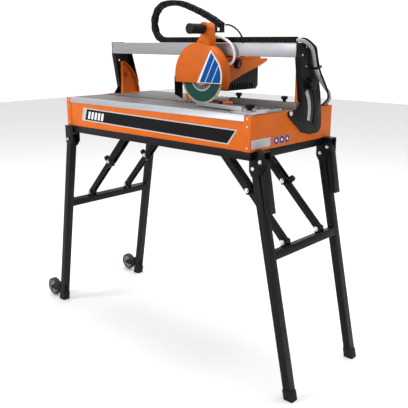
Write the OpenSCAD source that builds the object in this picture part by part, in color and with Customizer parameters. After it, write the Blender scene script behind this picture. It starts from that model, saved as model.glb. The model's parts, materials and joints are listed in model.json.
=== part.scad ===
// Bridge tile saw on a folding stand: water tray with ribbed tables, a tilting overhead rail with a
// sliding blade head, and two folding leg frames. Millimetres, +Z up, +X along the cut, front at -Y.
// The origin is on the ground, under the middle of the whole object.

/* [Tray and table] */
// Length of the water tray
tray_l = 940; // [900:5:980]
// Depth of the water tray, front to back
tray_w = 457; // [440:1:480]
// Height of the tray's bottom edge
tray_bottom = 798; // [790:1:800]
// Height of the table surface
table_top = 908; // [904:1:912]
// Distance between two ribs of the table
rib_pitch = 26; // [22:1:32]

/* [Folding stand] */
// Side of the square leg tube
tube = 28; // [24:1:28]
// Wall of the leg tube
tube_wall = 2; // [1.5:0.5:3]
// Distance of the right legs from the middle plane
right_leg_y = 190; // [186:1:190]
// Distance of the left legs from the middle plane
left_leg_y = 220; // [218:1:222]
// Distance of the folding braces from the middle plane
brace_y = 100; // [80:1:120]
// Radius of the transport wheels
wheel_r = 38; // [34:1:40]

/* [Bridge] */
// Height of the rail's underside
rail_bottom = 1074; // [1072:1:1078]
// Height of the rail section
rail_h = 44; // [40:1:50]
// Depth of the rail section
rail_w = 80; // [76:1:84]
// Height of the tilt axis
tilt_z = 900; // [898:1:902]

/* [Blade head] */
// Radius of the diamond blade
blade_r = 100; // [95:1:100]
// Thickness of the diamond blade
blade_t = 2.4; // [2:0.2:3]
// Radius of the blade guard
guard_r = 116; // [112:1:118]
// Place of the blade axis along the rail
head_x = 84.5; // [60:0.5:100]
// Radius of the grip
grip_r = 16; // [14:0.5:17]

/* [Hidden] */
$fn = 48;

// Tray
sheet = 1.5;
panel_top = table_top - 15;
half_l = tray_l / 2;
half_w = tray_w / 2;
flange = 26;                        // corner flange of the end panels
ledge = 20;
front_in = half_w - sheet;          // outer face of the front and rear panels, under the end flanges
pan_z = tray_bottom + 2;
pan_top = panel_top - 6;

// Table
slot_front = -42;                   // front edge of the blade slot
slot_rear = -24;                    // rear edge of the blade slot
rib_h = 3.5;
rib_w = 14;
skin = 4;
table_l = tray_l - 4;
table_half_w = half_w - 2.5;
trim_w = 18;                        // width of the strip over the table's front edge

// Base frame
bar = 25;
bar_top = tray_bottom;
bar_bottom = bar_top - bar - 1;
cross_z = 790;                      // underside of the cross members that hold the braces

// Leg frames, as [x, z] of the right side; the left side is mirrored
right_pivot = [468, 745];
right_foot = [627, 0];
left_pivot = [461, 742];
left_foot = [588, 0];
right_anchor = [245, 770];
left_anchor = [239, 775.6];
hinge_gap = 0.5;
plate_t = 3;
bolt_r = 5;
run = 0.05;                         // radial running clearance
cap_h = 34;
cap_wall = 2.5;
hinge_head_r = 6;
cap_floor = 5;
crossbar_along = 284;               // crossbar centre, measured down the leg from the pivot
clevis_along = 255.5;               // brace pin, measured down the leg from the pivot
upper_share = 0.46;                 // share of the brace that the upper link takes
link_half = 10.5;
cheek_r = 13;

// Carrying handles, hanging beside the tops of the right legs
handle_half = 10.5;
handle_len = 165;
handle_hang = 10.5;
handle_pos = [495.5, 769.3];
bracket_end = 508;                  // right end of the brackets that hold the right legs and the handles

// Wheels
wheel_pos = [657, 42];
wheel_w = 22;
axle_r = 4;

// The object's ends along X, and the shift that puts their middle over the origin
foot_half = (tube / 2 + cap_wall) / cos(splay(right_pivot, right_foot));
x_right = right_foot[0] + foot_half;
x_left = -wheel_pos[0] - wheel_r;
shift_x = -(x_right + x_left) / 2;
y_end = left_leg_y + tube / 2 + hinge_gap + plate_t + 5;

// Bridge
tilt_y = -30;
rail_y = 14.5;
rail_wall = 4;
rail_half_l = half_l + 1.5;
rail_top = rail_bottom + rail_h;
pin_r = 5;
track_half = 15;                    // half the width of the slot under the rail
rail_mid = rail_y + rail_w / 2;
web_t = 4;
front_edge = [[14, rail_bottom], [38, 934]];
rear_edge = [[108, rail_bottom], [143, 950]];
bracket_lip = 18;                   // folded edges of the side plates
lug_r = 165;
lock_r = 135;
lock_angle = 41;
lock_pos = [tilt_y + lock_r * cos(lock_angle), tilt_z + lock_r * sin(lock_angle)];

// Head
axis_z = table_top + blade_r - 4;
guard_front = -50;
guard_back = -8;
guard_t = 2.5;
cover_bottom = 980;
plate_bottom = 1062;
plate_top = 1070;
motor_left = -2;
motor_right = 172;
motor_back = 190;
shroud_back = y_end;
roller_r = 15;
roller_xs = [30, 139];
roller_z = rail_bottom + rail_wall + roller_r + 0.3;
grip_pos = [108, 1166];

// Guides on the table
fence_x = [180, 467.5];
fence_y = [12, 37];
fence_top = 930;
knob_y = 28;
knob_top = 948;
knob_xs = [211, 408];
arm_pivot = [403, -150];
arm_end = [158, -122];
guide_front = -205;
guide_back = -62;
guide_end = 464;

// Routes of the lines, chosen by hand, before the shift along X
drop_hose_route = [
    [458, 20, 1128], [468, 16, 1128], [477, 20, 1126], [483, 31, 1121], [485, 50, 1111], [485, 65, 1099],
    [485, 75, 1079], [485, 86, 1047], [485, 98, 1026], [485, 120, 1002], [484, 152, 976],
    [482, 181, 956], [477, 199, 938], [470, 208, 929], [461, 212, 920], [455.8, 211, 911],
    [455, 210, 900]
];
drop_cable_route = [
    [458, 34, 1131], [468, 33, 1133], [478, 38, 1131], [484, 50, 1124], [486, 72, 1112], [487, 84, 1102],
    [488, 91, 1076], [491, 97, 1049], [496, 103, 1024], [498, 125, 994], [496, 151, 963],
    [488, 172, 940], [474, 184, 925], [461, 187, 914], [455.6, 186.3, 907], [455, 186, 899]
];
water_hose_route = [
    [120.2, 3, 1140], [138, 3, 1138], [152, 3, 1136], [165, 3, 1131], [177, 3, 1126], [188, 3, 1119],
    [198, 3, 1110], [205, 3, 1098], [209, 3, 1084], [209, 3, 1070], [205, 3, 1058], [197, 3, 1050],
    [187, 3, 1046], [177, 3, 1045]
];
motor_cable_route = [
    [132, 43, 1179], [136, 48, 1181], [142, 57, 1179], [149, 69, 1173], [155, 82, 1163],
    [160, 93, 1150], [163, 101, 1134], [163, 107, 1116], [161, 111, 1098], [158, 113, 1084],
    [156, 114, 1071]
];

hose_end = [455, 210];
cable_end = [455, 186];
grommet_r = 10;
gland_pos = [300, 835];

orange = "#E06A1C";
black = "#1C1B1E";
silver = "#B9BCC0";

function splay(pivot, foot) = atan((foot[0] - pivot[0]) / (pivot[1] - foot[1]));
function down_leg(pivot, foot, d) =
    pivot + d * [sin(splay(pivot, foot)), -cos(splay(pivot, foot))];
function unit(v) = v / norm(v);
function arc(c, r, a0, a1, n) = [for (i = [0:n]) c + r * [cos(a0 + (a1 - a0) * i / n), sin(a0 + (a1 - a0) * i / n)]];

// Places a part that is drawn around the tray's middle
module place() {
    translate([shift_x, 0, 0]) children();
}

module block(x, y, z) {
    translate([x[0], y[0], z[0]]) cube([x[1] - x[0], y[1] - y[0], z[1] - z[0]]);
}

// An outline in X and Z, given its thickness along Y
module slab_xz(y) {
    translate([0, y[1], 0]) rotate([90, 0, 0]) linear_extrude(y[1] - y[0]) children();
}

// An outline in Y and Z, given its thickness along X
module slab_yz(x) {
    translate([x[0], 0, 0]) rotate([90, 0, 90]) linear_extrude(x[1] - x[0]) children();
}

module rod_y(x, z, y, r) {
    translate([x, y[0], z]) rotate([-90, 0, 0]) cylinder(h = y[1] - y[0], r = r);
}

module rod_x(y, z, x, r) {
    translate([x[0], y, z]) rotate([0, 90, 0]) cylinder(h = x[1] - x[0], r = r);
}

module both_y() {
    children();
    mirror([0, 1, 0]) children();
}

module both_x() {
    children();
    mirror([1, 0, 0]) children();
}

// Tube swept along a route with a round section of n sides
function tangent(p, i) =
    let (last = len(p) - 1)
    unit(i == 0 ? p[1] - p[0] : i == last ? p[last] - p[last - 1] : p[i + 1] - p[i - 1]);
function carried(p, i) =
    let (t = tangent(p, i),
         v = i > 0 ? carried(p, i - 1) : abs(t[1]) < 0.9 ? [0, 1, 0] : [1, 0, 0])
    unit(v - (v * t) * t);
function frame_at(p, i) = let (a = carried(p, i)) [a, cross(tangent(p, i), a)];
module sweep(p, r, n) {
    m = len(p);
    rings = [for (i = [0:m - 1]) let (f = frame_at(p, i)) for (k = [0:n - 1])
        p[i] + r * (cos(360 * k / n) * f[0] + sin(360 * k / n) * f[1])];
    sides = [for (i = [0:m - 2]) for (k = [0:n - 1])
        [i * n + k, i * n + (k + 1) % n, (i + 1) * n + (k + 1) % n, (i + 1) * n + k]];
    polyhedron(
        points = rings,
        faces = concat(
            sides,
            [[for (k = [0:n - 1]) n - 1 - k]],
            [[for (k = [0:n - 1]) (m - 1) * n + k]]
        )
    );
}

// ---- Tray ----

module long_panel() {
    face = -front_in;
    block([-half_l + 2, half_l - 2], [face, face + sheet], [tray_bottom, panel_top]);
    block([-half_l + 2, half_l - 2], [face, face + ledge], [panel_top - sheet, panel_top]);
    block([-half_l + 2, half_l - 2], [face, face + ledge], [tray_bottom, tray_bottom + sheet]);
}

module long_panels() {
    color(orange) place() both_y() long_panel();
}

module end_panels() {
    color(orange) place() both_x() {
        difference() {
            block([half_l - sheet, half_l], [-half_w, half_w], [tray_bottom, table_top]);
            rod_x(tilt_y, tilt_z, [half_l - 2 * sheet, half_l + sheet], pin_r);
        }
        both_y() block([half_l - flange, half_l], [-half_w, -front_in], [tray_bottom, table_top]);
    }
}

module water_pan() {
    x = half_l - 5;
    y = front_in - ledge - 1;
    color("#8C9094") place() difference() {
        block([-x, x], [-y, y], [pan_z, pan_top]);
        block([-x + sheet, x - sheet], [-y + sheet, y - sheet], [pan_z + sheet, pan_top + 1]);
        translate([x - 60, 140, pan_z - 1]) cylinder(h = 10, r = 9);
    }
}

module base_frame() {
    color(black) place() {
        both_y() block([-half_l, half_l], [-half_w, -half_w + bar], [bar_bottom, bar_top]);
        both_x() block([half_l - bar, half_l], [-half_w + bar + 0.3, half_w - bar - 0.3],
            [bar_bottom, bar_top]);
        brace_anchor(right_anchor);
        mirror([1, 0, 0]) brace_anchor(left_anchor);
    }
}

// Cross member under the tray, with two pairs of ears for the upper links
module brace_anchor(at) {
    ear = cheek_r + 1;
    block([at[0] - 20, at[0] + 20], [-half_w + bar + 0.3, half_w - bar - 0.3], [cross_z, bar_top]);
    both_y() for (side = [-1, 1])
        slab_xz(sort2(brace_y + side * 16, brace_y + side * 19)) difference() {
            union() {
                translate(at) circle(ear);
                translate([at[0] - ear, at[1]]) square([2 * ear, cross_z - at[1] - 0.1]);
            }
            translate(at) circle(bolt_r);
        }
}

function sort2(a, b) = a < b ? [a, b] : [b, a];

// Ribbed section: ribs run front to back, with webs below that stand on the tray
module table_profile() {
    n = floor(table_l / rib_pitch);
    x0 = -n * rib_pitch / 2 + (rib_pitch - rib_w) / 2;
    skin_top = table_top - rib_h;
    web_n = 12;
    web_pitch = (table_l - 3) / web_n;
    polygon(concat(
        [[-table_l / 2, skin_top]],
        [for (i = [0:n - 1]) for (q = [[0, 0], [0.5, rib_h], [rib_w - 0.5, rib_h], [rib_w, 0]])
            [x0 + i * rib_pitch + q[0], skin_top + q[1]]],
        [[table_l / 2, skin_top]],
        [for (i = [web_n:-1:0]) for (q = [[3, 0], [3, 1], [0, 1], [0, 0]])
            [-table_l / 2 + i * web_pitch + q[0], q[1] == 0 ? skin_top - skin : panel_top]]
    ));
}

module table_front() {
    color(silver) place() slab_xz([-table_half_w, slot_front]) table_profile();
}

module table_rear() {
    color(silver) place() difference() {
        slab_xz([slot_rear, table_half_w]) table_profile();
        for (p = [hose_end, cable_end])
            translate([p[0], p[1], panel_top - 1]) cylinder(h = 20, r = grommet_r);
    }
}

// Angle strip over the table's front edge, between the corner flanges
module front_trim() {
    x = [-half_l + flange, half_l - flange];
    color(silver) place() {
        block(x, [-half_w, -front_in], [panel_top - 3, table_top + sheet]);
        block(x, [-half_w, -half_w + trim_w], [table_top, table_top + sheet]);
        block(x, [-half_w - sheet, -half_w], [panel_top - 3, panel_top - 3 + sheet]);
    }
}

// Fixed quadrant that the bridge tilts on and is locked to, and the block that holds its pivot
module tilt_lugs() {
    color(orange) place() both_x() {
        difference() {
            union() {
                slab_yz([half_l - 18, half_l - 15]) lug_outline(0);
                slab_yz([half_l - 30, half_l - 18]) difference() {
                    lug_outline(0);
                    lug_outline(3);
                }
                block([half_l - 34, half_l - 15], [39, 134], [table_top, table_top + 3]);
            }
            rod_x(lock_pos[0], lock_pos[1], [half_l - 40, half_l], 9);
        }
        difference() {
            rod_x(lock_pos[0], lock_pos[1], [half_l - 30, half_l + 1.2], 9);
            rod_x(lock_pos[0], lock_pos[1], [half_l - 31, half_l + 2], 3.5);
        }
        difference() {
            block([half_l - 18, half_l - sheet], [slot_front + 0.5, slot_rear - 0.5],
                [panel_top, table_top - 0.5]);
            rod_x(tilt_y, tilt_z, [half_l - 19, half_l + 1], pin_r);
        }
    }
}

module lug_outline(inset) {
    intersection() {
        translate([tilt_y, tilt_z]) circle(lug_r - inset, $fn = 96);
        translate([41 + inset, table_top + 3]) square([120, 200]);
        translate([41 + inset - 20, table_top + 3 - 2 * lug_r + 131 - inset]) square([200, 2 * lug_r]);
    }
}

module lock_knob_shape() {
    rod_x(lock_pos[0], lock_pos[1], [half_l - 26, half_l + 7], 3.4);
    rod_x(lock_pos[0], lock_pos[1], [half_l + 6.2, half_l + 9], 11);
    difference() {
        rod_x(lock_pos[0], lock_pos[1], [half_l + 9, half_l + 26], 19);
        for (k = [0:5]) translate([half_l + 8, lock_pos[0], lock_pos[1]]) rotate([60 * k, 0, 0])
            translate([0, 0, 24]) rotate([0, 90, 0]) cylinder(h = 20, r = 8);
    }
}

module tilt_knob_right() {
    color(black) place() lock_knob_shape();
}

module tilt_knob_left() {
    color(black) place() mirror([1, 0, 0]) lock_knob_shape();
}

module water_pump() {
    p = [330, 60, pan_z + sheet];
    color("#3A3D42") place() translate(p) {
        difference() {
            cube([80, 60, 50]);
            for (i = [0:5]) translate([8 + 11 * i, -1, 8]) cube([5, 4, 20]);
        }
        translate([60, 30, 50]) cylinder(h = 12, r = 8);
        translate([60, 30, 62]) rotate([0, 90, 0]) cylinder(h = 30, r = 5);
    }
}

module tray_fittings() {
    color(black) place() {
        translate([half_l - 65, 140, pan_z - 8]) {
            translate([0, 0, 8 + sheet]) cylinder(h = 5, r = 14);
            cylinder(h = 8 + sheet, r = 8.9);
            translate([0, 0, -5]) cylinder(h = 5, r = 13);
        }
        for (p = [hose_end, cable_end])
            translate([p[0], p[1], panel_top]) difference() {
                union() {
                    cylinder(h = 16, r = grommet_r);
                    translate([0, 0, 15]) cylinder(h = 1.5, r = grommet_r + 2);
                }
                translate([0, 0, -1]) cylinder(h = 20, r = grommet_r - 1);
            }
        rod_y(gland_pos[0], gland_pos[1], [front_in, front_in + 5], 13);
        rod_y(gland_pos[0], gland_pos[1], [front_in + 5, y_end - 1], 8);
    }
}

// ---- Folding stand ----

// Moves a part drawn down its own Z from the hinge to its place on the leg
module on_leg(pivot, foot) {
    translate([pivot[0], 0, pivot[1]]) rotate([0, -splay(pivot, foot), 0]) children();
}

module leg_solid(pivot, foot, y, half, top_r) {
    on_leg(pivot, foot) {
        block([-half, half], [y - half, y + half], [-norm(pivot - foot) - 20, 0]);
        rod_y(0, 0, [y - half, y + half], top_r);
    }
}

module leg_pair(pivot, foot, y) {
    both_y() difference() {
        leg_solid(pivot, foot, y, tube / 2, tube / 2);
        leg_solid(pivot, foot, y, tube / 2 - tube_wall, tube / 2 - tube_wall);
        rod_y(pivot[0], pivot[1], [y - tube, y + tube], bolt_r + run);
        block([0, 900], [y - tube, y + tube], [-60, cap_floor]);
    }
}

module foot_caps(pivot, foot, y) {
    cap_y = tube / 2 + 1.5;
    both_y() difference() {
        intersection() {
            leg_solid(pivot, foot, y, tube / 2 + cap_wall, tube / 2);
            block([0, 900], [y - cap_y, y + cap_y], [0, cap_h]);
        }
        difference() {
            leg_solid(pivot, foot, y, tube / 2, tube / 2);
            block([0, 900], [y - tube, y + tube], [-60, cap_floor]);
        }
    }
}

module crossbar(pivot, foot, y) {
    half = tube / 2;
    span = y - half;
    on_leg(pivot, foot) {
        difference() {
            block([-half, half], [-span, span], [-crossbar_along - half, -crossbar_along + half]);
            block([-half + tube_wall, half - tube_wall], [-span - 1, span + 1],
                [-crossbar_along - half + tube_wall, -crossbar_along + half - tube_wall]);
        }
        both_y() for (side = [-1, 1])
            slab_xz(sort2(brace_y + side * 12.5, brace_y + side * 15.5)) difference() {
                union() {
                    translate([0, -clevis_along]) circle(10);
                    translate([-10, -crossbar_along + half + 0.1])
                        square([20, crossbar_along - half - clevis_along - 0.1]);
                }
                translate([0, -clevis_along]) circle(bolt_r + run);
            }
    }
}

module right_legs() {
    color(black) place() leg_pair(right_pivot, right_foot, right_leg_y);
}

module left_legs() {
    color(black) place() mirror([1, 0, 0]) leg_pair(left_pivot, left_foot, left_leg_y);
}

module right_crossbar() {
    color(black) place() crossbar(right_pivot, right_foot, right_leg_y);
}

module left_crossbar() {
    color(black) place() mirror([1, 0, 0]) crossbar(left_pivot, left_foot, left_leg_y);
}

module right_foot_caps() {
    color(black) place() foot_caps(right_pivot, right_foot, right_leg_y);
}

module left_foot_caps() {
    color(black) place() mirror([1, 0, 0]) foot_caps(left_pivot, left_foot, left_leg_y);
}

module carry_handle(y) {
    half = tube / 2;
    difference() {
        translate([handle_pos[0], 0, handle_pos[1]]) rotate([0, -handle_hang, 0])
            difference() {
                union() {
                    block([-handle_half, handle_half], [y - half, y + half], [-handle_len, 0]);
                    rod_y(0, 0, [y - half, y + half], handle_half);
                }
                block([-handle_half + tube_wall, handle_half - tube_wall],
                    [y - half + tube_wall, y + half - tube_wall], [-handle_len + 6, 0]);
            }
        rod_y(handle_pos[0], handle_pos[1], [y - tube, y + tube], bolt_r + run);
    }
}

module carry_handle_front() {
    color(black) place() carry_handle(-right_leg_y);
}

module carry_handle_rear() {
    color(black) place() carry_handle(right_leg_y);
}

// Channel over the top of a leg; the right ones reach out to hold the carrying handles too
module hinge_brackets() {
    inner = tube / 2 + hinge_gap;
    outer = inner + plate_t;
    web = bar_bottom - plate_t;
    color(black) place() both_y() {
        for (side = [-1, 1])
            slab_xz(sort2(right_leg_y + side * inner, right_leg_y + side * outer)) difference() {
                polygon([
                    [450, web + plate_t], [450, 735], [460, 718], [486, 718], [bracket_end, 742],
                    [bracket_end, tray_bottom + 2], [half_l + 1, tray_bottom + 2], [half_l + 1, web + plate_t]
                ]);
                translate(right_pivot) circle(bolt_r);
                translate(handle_pos) circle(bolt_r);
            }
        block([450, half_l + 1], [right_leg_y - outer, right_leg_y + outer], [web, web + plate_t]);
        block([half_l + 1, bracket_end], [right_leg_y - outer, right_leg_y + outer],
            [tray_bottom - 1, tray_bottom + 2]);
        mirror([1, 0, 0]) {
            slab_xz([left_leg_y + inner, left_leg_y + outer]) left_plate_outline(tray_bottom - 1);
            slab_xz([left_leg_y - outer, left_leg_y - inner]) left_plate_outline(web + plate_t);
            block([430, 478], [left_leg_y - inner, left_leg_y + inner], [web, web + plate_t]);
        }
    }
}

module left_plate_outline(top) {
    difference() {
        polygon([[430, top], [478, top], [478, 730], [468, 712], [450, 712], [430, 735]]);
        translate(left_pivot) circle(bolt_r);
    }
}

module hinge_bolt(at, y0, y1) {
    rod_y(at[0], at[1], [y0 - 5, y1 + 5], bolt_r);
    rod_y(at[0], at[1], [y0 - 5, y0], hinge_head_r);
    rod_y(at[0], at[1], [y1, y1 + 5], hinge_head_r);
}

module anchor_pin(at) {
    rod_y(at[0], at[1], [brace_y - 22, brace_y + 22], bolt_r);
}

module base_fasteners() {
    reach = tube / 2 + hinge_gap + plate_t;
    color(silver) place() {
        both_y() {
            hinge_bolt(right_pivot, right_leg_y - reach, right_leg_y + reach);
            hinge_bolt(handle_pos, right_leg_y - reach, right_leg_y + reach);
            mirror([1, 0, 0]) hinge_bolt(left_pivot, left_leg_y - reach, left_leg_y + reach);
        }
        both_y() {
            anchor_pin(right_anchor);
            mirror([1, 0, 0]) anchor_pin(left_anchor);
        }
        both_x() {
            rod_x(tilt_y, tilt_z, [half_l - 17, half_l + 7], pin_r);
            rod_x(tilt_y, tilt_z, [half_l + 6, half_l + 9], pin_r + 2.5);
            both_y() for (z = [tray_bottom + 12, tray_bottom + 77, table_top - 9])
                translate([half_l - flange / 2, -half_w, z]) rotate([90, 0, 0])
                    cylinder(h = 1.5, r = 3);
        }
    }
}

module wheel_brackets() {
    arm = wheel_w / 2 + 2;
    leg_x = down_leg(left_pivot, left_foot, norm(left_pivot - left_foot) - 45)[0] + tube / 2 - 1;
    color(black) place() mirror([1, 0, 0]) both_y() {
        for (side = [-1, 1])
            slab_xz(sort2(left_leg_y + side * arm, left_leg_y + side * (arm + plate_t))) union() {
                translate(wheel_pos) circle(9);
                polygon([
                    [leg_x + 3, 74], [leg_x + 8, 38], wheel_pos + [0, -9], wheel_pos + [0, 9],
                    wheel_pos + [-20, 22]
                ]);
            }
        rod_y(wheel_pos[0], wheel_pos[1], [left_leg_y - arm - 7, left_leg_y + arm + 7], axle_r);
        on_leg(left_pivot, left_foot)
            block([tube / 2, tube / 2 + 3], [left_leg_y - arm - plate_t, left_leg_y + arm + plate_t],
                [-norm(left_pivot - left_foot) + 38, -norm(left_pivot - left_foot) + 74]);
        on_leg(left_pivot, left_foot) for (d = [48, 64])
            translate([-tube / 2 - 4, left_leg_y, -norm(left_pivot - left_foot) + d]) rotate([0, 90, 0])
                cylinder(h = 4, r = 6);
    }
}

module wheel(y) {
    translate([-wheel_pos[0], y, wheel_pos[1]]) rotate([90, 0, 0]) difference() {
        union() {
            cylinder(h = wheel_w, r = wheel_r - 2, center = true);
            cylinder(h = wheel_w - 4, r = wheel_r, center = true);
            cylinder(h = wheel_w + 3, r = 9, center = true);
        }
        cylinder(h = wheel_w + 5, r = axle_r + run, center = true);
        for (side = [-1, 1]) translate([0, 0, side * (wheel_w / 2 - 2)]) difference() {
            cylinder(h = 5, r = 26, center = true);
            cylinder(h = 6, r = 12, center = true);
            for (k = [0:4]) rotate(72 * k) translate([0, -2.5, -3]) cube([30, 5, 6]);
        }
    }
}

module wheel_front() {
    color("#5B6663") place() wheel(-left_leg_y);
}

module wheel_rear() {
    color("#5B6663") place() wheel(left_leg_y);
}

// ---- Folding braces ----

// Draws along a line from one point to another, with local X along it and local Y to its upper side
module along_line(from, to) {
    dir = to - from;
    translate([from[0], 0, from[1]]) rotate([0, -atan2(dir[1], dir[0]), 0]) children();
}

module upper_links(pivot, foot, anchor) {
    pin = down_leg(pivot, foot, clevis_along);
    length = upper_share * norm(pin - anchor);
    both_y() along_line(anchor, pin) difference() {
        union() {
            for (side = [-1, 1])
                slab_xz(sort2(brace_y + side * 12, brace_y + side * 15)) union() {
                    circle(cheek_r);
                    translate([length, 0]) circle(cheek_r);
                    translate([0, -cheek_r]) square([length, 2 * cheek_r]);
                }
            block([15, 115], [brace_y - 12, brace_y + 12], [cheek_r - 3, cheek_r]);
            for (side = [-1, 1]) rod_y(length, 0, sort2(brace_y + side * 15, brace_y + side * 19), 7);
        }
        rod_y(0, 0, [brace_y - 30, brace_y + 30], bolt_r + run);
    }
}

module lower_links(pivot, foot, anchor) {
    pin = down_leg(pivot, foot, clevis_along);
    length = (1 - upper_share) * norm(pin - anchor);
    both_y() along_line(pin, anchor) mirror([0, 0, 1]) difference() {
        union() {
            slab_xz([brace_y - link_half, brace_y + link_half]) union() {
                circle(link_half);
                translate([length, 0]) circle(link_half);
                translate([0, -link_half]) square([length, 2 * link_half]);
            }
            rod_y(0, 0, [brace_y - 18, brace_y + 18], bolt_r);
            slab_xz([brace_y - 4, brace_y + 4])
                polygon([[length - 12, -link_half + 1], [length - 6, -link_half - 12], [length - 2, -link_half - 12],
                    [length + 6, -link_half + 5]]);
            translate([length - 14, brace_y, link_half - 1]) cylinder(h = 5, r = 8);
        }
        block([14, length - 30], [brace_y - link_half + 3, brace_y + link_half - 3],
            [-link_half - 1, link_half - 3]);
        rod_y(length, 0, [brace_y - 30, brace_y + 30], bolt_r);
        translate([length - 14, brace_y, 0]) cylinder(h = 30, r = 3 + run);
    }
}

module lock_knobs(pivot, foot, anchor) {
    pin = down_leg(pivot, foot, clevis_along);
    length = (1 - upper_share) * norm(pin - anchor);
    both_y() along_line(pin, anchor) mirror([0, 0, 1]) translate([length - 14, brace_y, 0]) {
        translate([0, 0, 5]) cylinder(h = 14, r = 3);
        translate([0, 0, link_half + 8]) cylinder(h = 16, r = 11);
    }
}

module right_upper_links() {
    color(black) place() upper_links(right_pivot, right_foot, right_anchor);
}

module right_lower_links() {
    color(black) place() lower_links(right_pivot, right_foot, right_anchor);
}

module left_upper_links() {
    color(black) place() mirror([1, 0, 0]) upper_links(left_pivot, left_foot, left_anchor);
}

module left_lower_links() {
    color(black) place() mirror([1, 0, 0]) lower_links(left_pivot, left_foot, left_anchor);
}

module right_lock_knobs() {
    color(black) place() lock_knobs(right_pivot, right_foot, right_anchor);
}

module left_lock_knobs() {
    color(black) place() mirror([1, 0, 0]) lock_knobs(left_pivot, left_foot, left_anchor);
}

// ---- Tilting bridge ----

module rail() {
    color(silver) place() slab_yz([-rail_half_l, rail_half_l]) difference() {
        translate([rail_y, rail_bottom]) square([rail_w, rail_h]);
        translate([rail_y + rail_wall, rail_bottom + rail_wall])
            square([rail_w - 2 * rail_wall, rail_h - 2 * rail_wall]);
        translate([rail_mid - track_half, rail_bottom - 1]) square([2 * track_half, 10]);
    }
}

// A slot with round ends that follows an arc about the origin
module arc_slot(r, half, a0, a1) {
    polygon(concat(
        arc([0, 0], r + half, a0, a1, 16),
        arc(r * [cos(a1), sin(a1)], half, a1 + 20, a1 + 160, 6),
        arc([0, 0], r - half, a1, a0, 16),
        arc(r * [cos(a0), sin(a0)], half, a0 - 160, a0 - 20, 6)
    ));
}

// Side plate of the bridge in Y and Z; its top starts at y = front
module bracket_outline(front) {
    difference() {
        polygon(concat(
            [front_edge[0], [front, rail_bottom], [front, rail_top + 2], [80, rail_top + 2], [98, rail_top - 12]],
            [rear_edge[0], rear_edge[1], [155, 866]],
            arc([128, 848], 27, 0, -80, 6),
            [[84, 821], [40, 832], [-36, 888], [-42, 899], [-36, 908], [20, 910], front_edge[1]]
        ));
        translate([tilt_y, tilt_z]) circle(pin_r + run);
        translate([tilt_y, tilt_z]) arc_slot(lock_r, 4, -18, 50);
        translate([52, 1046]) circle(4);
    }
}

module bracket(front) {
    slab_yz([rail_half_l, rail_half_l + web_t]) bracket_outline(front);
    for (edge = [front_edge, rear_edge]) {
        inward = edge == front_edge ? plate_t : -plate_t;
        slab_yz([rail_half_l - bracket_lip, rail_half_l]) polygon([
            edge[0], edge[1], edge[1] + [inward, 0], edge[0] + [inward, 0]
        ]);
    }
}

module bracket_right() {
    color(black) place() bracket(-7);
}

module bracket_left() {
    color(black) place() mirror([1, 0, 0]) bracket(rail_y + 1.5);
}

module bridge_bolts() {
    color(silver) place() {
        both_x() for (p = [[22, rail_bottom + 8], [44, rail_top - 11], [56, rail_top - 11]])
            rod_x(p[0], p[1], [rail_half_l + web_t, rail_half_l + web_t + 3], 3.5);
    }
}

module bridge_lines() {
    color("#9A9CA0") place() {
        sweep(drop_hose_route, 6, 8);
        sweep(drop_cable_route, 3.5, 8);
    }
}

// Energy chain: the run on the rail, the bend at its left, and the run back to the head
chain_w = 22;
chain_h = 20;
chain_mid = rail_y + 18;
chain_low = rail_top + chain_h / 2 + 1;
bend_points = [
    [-150, chain_low], [-176, chain_low + 1], [-196, 1136], [-213, 1152], [-223, 1176], [-224, 1202],
    [-215, 1226], [-199, 1245], [-177, 1257], [-150, 1262.5], [-116, 1263.4]
];
upper_points = [
    [-115, 1263.4], [-100, 1263], [-80, 1260], [-45, 1251], [-10, 1239], [25, 1226], [60, 1211], [92, 1196], [117, 1182]
];

function side_of(p, i, h) = let (t = tangent(p, i)) p[i] + h * [-t[1], t[0]];
module ribbon(p, h) {
    last = len(p) - 1;
    polygon(concat(
        [for (i = [0:last]) side_of(p, i, h)],
        [for (i = [last:-1:0]) side_of(p, i, -h)]
    ));
}

module chain_run(p) {
    slab_xz([chain_mid - chain_w / 2, chain_mid + chain_w / 2]) ribbon(p, chain_h / 2);
}

module chain_lower() {
    color(black) place() chain_run([[-149.5, chain_low], [150, chain_low], [455, chain_low]]);
}

module chain_bend() {
    color(black) place() chain_run(bend_points);
}

module chain_upper() {
    color(black) place() chain_run(upper_points);
}

// ---- Sliding head ----

module carriage_plate() {
    color(orange) place() {
        block([motor_left, motor_right], [guard_back, 200], [plate_bottom, plate_top]);
        block([15, 154], [rail_mid - 5, rail_mid + 5], [plate_top, roller_z - 4.1]);
        for (x = roller_xs) rod_y(x, roller_z, [rail_y + rail_wall + 2, rail_y + rail_w - rail_wall - 2], 4);
        for (x = roller_xs) block([x - 8, x + 8], [rail_mid - 5, rail_mid + 5], [plate_top, roller_z + 8]);
    }
}

module roller_pair(x) {
    for (y = [rail_y + rail_wall + 5, rail_y + rail_w - rail_wall - 5 - 12])
        difference() {
            rod_y(x, roller_z, [y, y + 12], roller_r);
            rod_y(x, roller_z, [y - 1, y + 13], 4 + run);
        }
}

module roller_pair_left() {
    color(silver) place() roller_pair(roller_xs[0]);
}

module roller_pair_right() {
    color(silver) place() roller_pair(roller_xs[1]);
}

// Side view of the guard: a disc cut off level at the front and lower at the right
module guard_outline(r) {
    difference() {
        translate([head_x, axis_z]) circle(r, $fn = 96);
        translate([head_x - 2 * r, cover_bottom - 2 * r]) square([4 * r, 2 * r]);
    }
}

module guard_rim_outline() {
    drop = 20;
    difference() {
        translate([head_x, axis_z]) circle(guard_r, $fn = 96);
        translate([head_x, axis_z]) circle(guard_r - guard_t, $fn = 96);
        translate([head_x - 200, cover_bottom - 200]) square([280, 200]);
        translate([head_x + 60, cover_bottom - drop - 200]) square([140, 200]);
    }
}

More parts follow.
